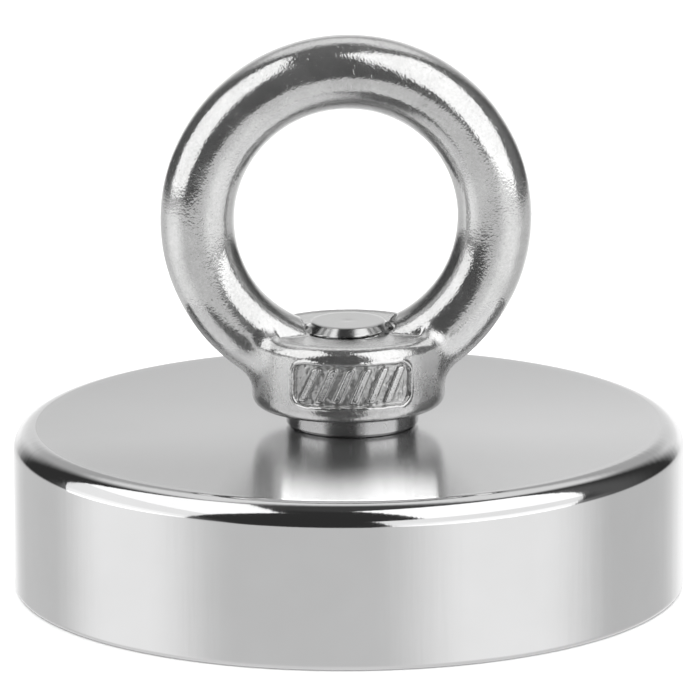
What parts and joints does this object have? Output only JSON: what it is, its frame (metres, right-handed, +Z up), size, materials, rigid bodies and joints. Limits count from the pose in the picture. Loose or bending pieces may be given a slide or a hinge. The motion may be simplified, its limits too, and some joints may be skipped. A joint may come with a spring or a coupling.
{
  "type": "magnet fishing magnet",
  "caption": "Round pot magnet with a potted ring magnet on its underside and a screwed-on cast lifting eye on top, for retrieving steel objects on a rope.",
  "frame": {"origin": "centre of the pot's open rim, on the surface the magnet rests on", "axes": "+Z up the bolt to the eye; the eye's ring lies in the XZ plane, so a rope goes through it along Y; the hub's panel faces -Y"},
  "size_m": [0.075, 0.075, 0.0626],
  "materials": {
    "pot_shell": "bright nickel plating, satin on the top",
    "ring_magnet": "nickel plated sintered magnet",
    "rim_resin": "cured black epoxy",
    "magnet_adhesive": "cured adhesive",
    "countersunk_bolt": "stainless, machined",
    "spacer_collar": "turned stainless",
    "eye_nut": "cast stainless, tumbled and polished"
  },
  "bodies": {
    "pot": {"pot_shell": "pot_shell", "ring_magnet": "ring_magnet", "rim_resin": "rim_resin", "magnet_adhesive": "magnet_adhesive", "countersunk_bolt": "countersunk_bolt"},
    "spacer": {"spacer_collar": "spacer_collar"},
    "eye": {"eye_nut": "eye_nut"}
  },
  "joints": [
    {"name": "eye_turn", "type": "hinge", "parent": "pot", "child": "spacer", "pos_m": [0, 0, 0.0184], "axis": [0, 0, 1], "range_deg": [0, 1800]},
    {"name": "eye_lift", "type": "slide", "parent": "spacer", "child": "eye", "axis": [0, 0, 1], "range_m": [0, 0.0075]}
  ],
  "couplings": [
    {"joint": "eye_lift", "follows": "eye_turn", "m_per_rad": 0.00023873}
  ]
}
